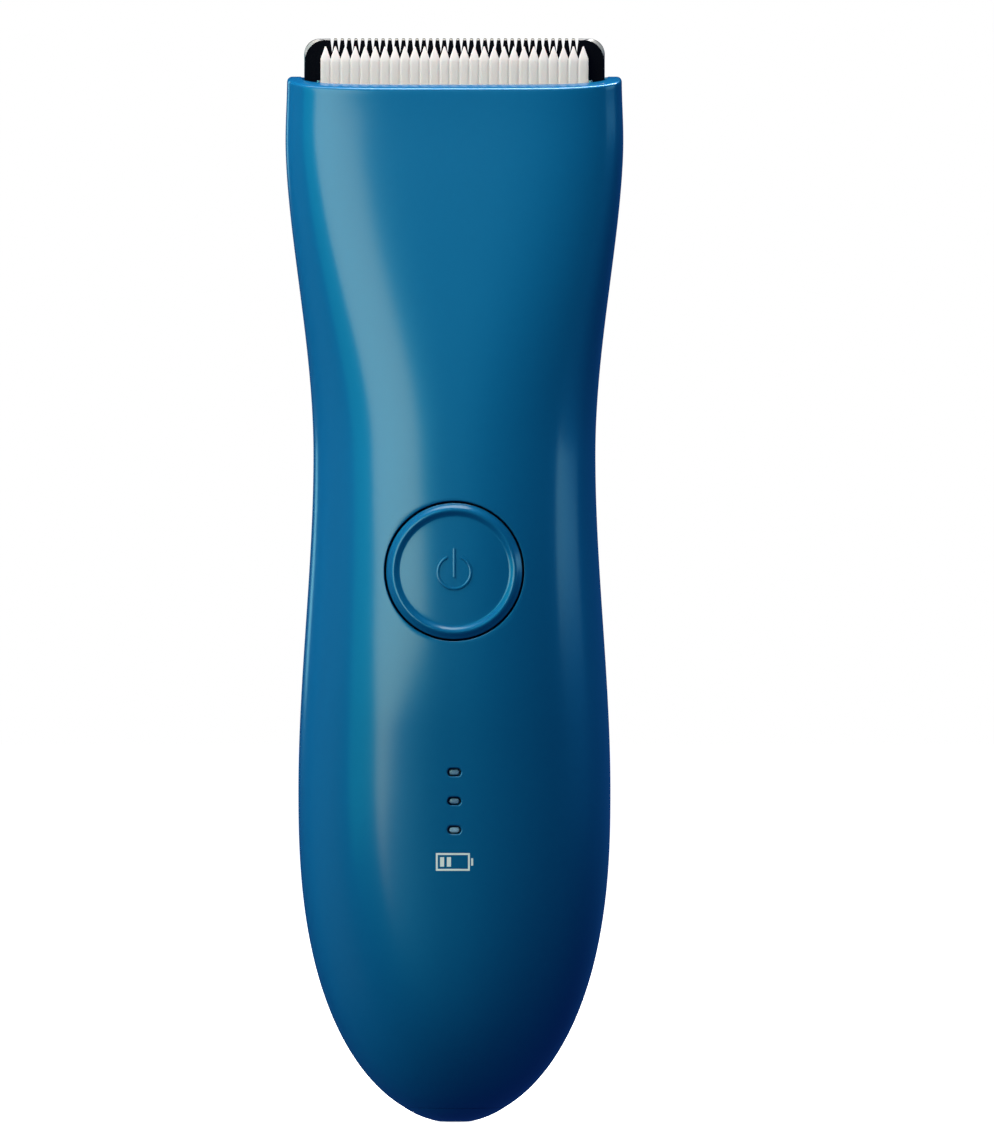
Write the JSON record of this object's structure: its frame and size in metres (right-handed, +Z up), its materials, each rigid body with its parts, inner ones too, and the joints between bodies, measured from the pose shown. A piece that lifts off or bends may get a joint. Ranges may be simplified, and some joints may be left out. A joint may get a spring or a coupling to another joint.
{
  "type": "body groomer",
  "caption": "Cordless body groomer with a waisted oval handle, round power button, charge lights and a wide reciprocating ceramic cutter behind a toothed steel blade.",
  "frame": {"origin": "centre of the footprint at the tip of the handle, where the charging port opens", "axes": "+Z runs up the handle to the blade, -Y is the button side, +X is to the right when looking at the button"},
  "size_m": [0.0498, 0.0324, 0.16],
  "materials": {
    "housing_plastic": "satin blue plastic",
    "black_rubber": "matt black seal",
    "chassis_plastic": "matt dark grey plastic",
    "bright_steel": "bright steel",
    "spring_steel": "bright spring steel",
    "battery_wrap": "green plastic wrap",
    "red_wire": "red insulated wire",
    "black_wire": "black insulated wire",
    "black_plastic": "matt black plastic",
    "board_laminate": "green board laminate",
    "light_emitter": "pale light package",
    "clear_lens": "clear plastic light guide",
    "dark_magnet": "dark ceramic magnet",
    "pale_plastic": "natural nylon",
    "bronze": "sintered bronze",
    "carbon_copper": "copper",
    "core_steel": "grey steel stampings",
    "blade_steel": "polished black coated steel",
    "white_ceramic": "off-white ceramic"
  },
  "bodies": {
    "housing": {"front_housing": "housing_plastic", "rear_housing": "housing_plastic", "end_cap": "housing_plastic", "end_cap_oring": "black_rubber", "chassis": "chassis_plastic", "deck_gasket": "black_rubber", "deck_screws": "bright_steel", "battery_cell": "battery_wrap", "battery_cap": "bright_steel", "battery_tab_positive": "bright_steel", "battery_tab_negative": "bright_steel", "battery_wire_positive": "red_wire", "battery_wire_negative": "black_wire", "jack_body": "black_plastic", "jack_pin": "bright_steel", "jack_wires": "black_wire", "circuit_board": "board_laminate", "board_screws": "bright_steel", "tact_switch": "black_plastic", "controller_chip": "black_plastic", "charge_lights": "light_emitter", "light_guide": "clear_lens", "motor_can": "bright_steel", "motor_magnets": "dark_magnet", "motor_end_bell": "pale_plastic", "motor_bushes": "bronze", "motor_brushes": "carbon_copper", "motor_screws": "bright_steel", "motor_wire_positive": "red_wire", "motor_wire_negative": "black_wire", "shaft_seal": "black_rubber"},
    "button": {"power_button": "housing_plastic", "button_oring": "black_rubber"},
    "plunger": {"switch_plunger": "black_plastic"},
    "rotor": {"rotor_shaft": "bright_steel", "rotor_core": "core_steel", "rotor_windings": "carbon_copper", "commutator": "carbon_copper", "drive_hub": "pale_plastic", "drive_pin": "bright_steel"},
    "cartridge": {"blade_frame": "black_plastic", "fixed_blade": "blade_steel", "blade_rivets": "bright_steel", "guide_pins": "bright_steel", "cutter_spring": "spring_steel"},
    "cutter": {"ceramic_cutter": "white_ceramic", "cutter_carrier": "black_plastic"}
  },
  "joints": [
    {"name": "button_press", "type": "slide", "parent": "housing", "child": "button", "axis": [0, 1, 0], "range_m": [0, 0.0006], "stiffness_N_per_m": 800, "springref_m": -0.0005},
    {"name": "plunger_press", "type": "slide", "parent": "housing", "child": "plunger", "axis": [0, 1, 0], "range_m": [0, 0.0006]},
    {"name": "motor_spin", "type": "hinge", "parent": "housing", "child": "rotor", "pos_m": [0, 0, 0.1175], "axis": [0, 0, 1], "range_deg": [-90, 90]},
    {"name": "cartridge_release", "type": "slide", "parent": "housing", "child": "cartridge", "axis": [0, 0, 1], "range_m": [0, 0.012]},
    {"name": "cutter_slide", "type": "slide", "parent": "cartridge", "child": "cutter", "axis": [1, 0, 0], "range_m": [-0.0011, 0.0011]}
  ],
  "couplings": [
    {"joint": "plunger_press", "follows": "button_press", "ratio": 1},
    {"joint": "motor_spin", "follows": "cutter_slide", "rad_per_m": 1427}
  ]
}
